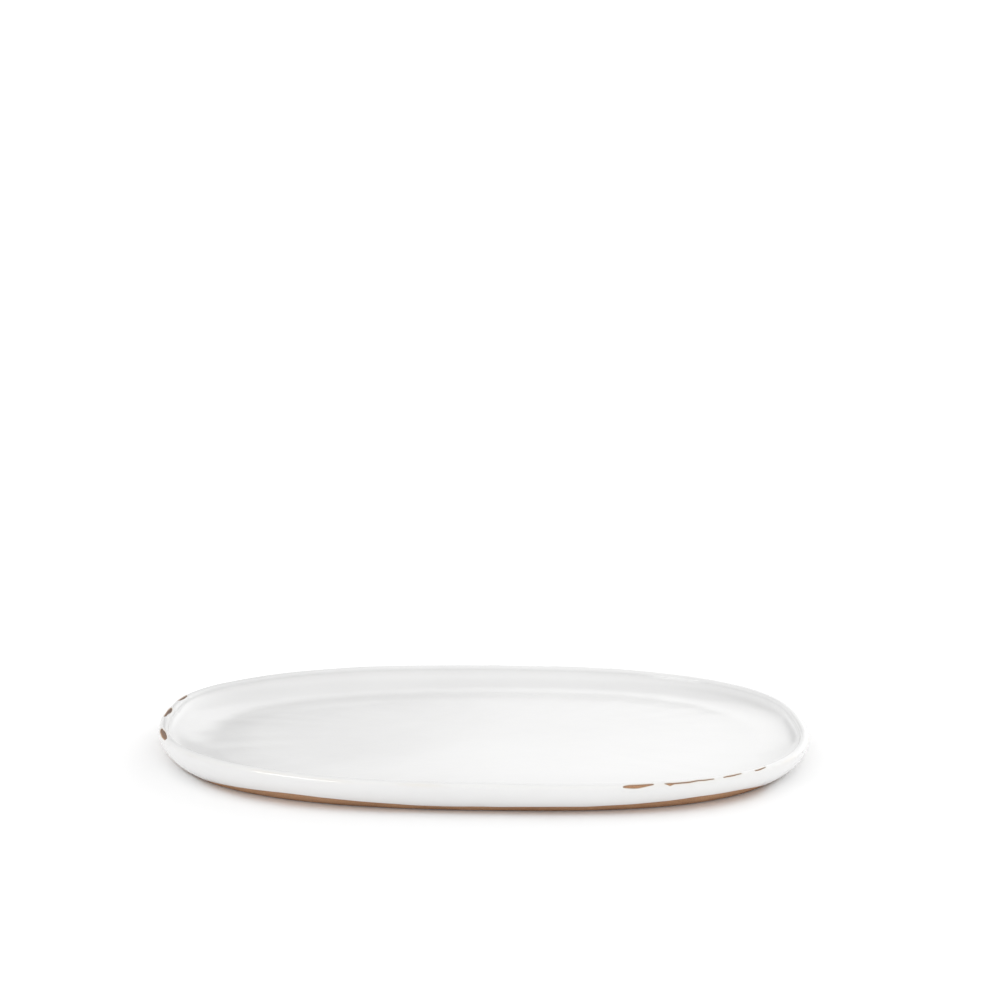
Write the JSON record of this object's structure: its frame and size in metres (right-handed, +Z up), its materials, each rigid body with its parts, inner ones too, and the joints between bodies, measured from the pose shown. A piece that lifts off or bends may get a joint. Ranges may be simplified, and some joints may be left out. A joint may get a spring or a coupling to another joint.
{
  "type": "serving platter",
  "caption": "Oval serving platter in fired clay with a low wall, glazed white over the inside and rim, with bare clay at the foot and in short patches on the rim.",
  "frame": {"origin": "on the table, under the middle of the platter's length and width", "axes": "+X along the length towards the lower end of the rim, +Y towards the back edge, +Z up"},
  "size_m": [0.4064, 0.2794, 0.0206],
  "materials": {
    "clay": "rough unglazed tan clay",
    "glaze": "glossy white glaze"
  },
  "bodies": {
    "root": {"clay_body": "clay", "glaze_coat": "glaze"}
  },
  "joints": []
}
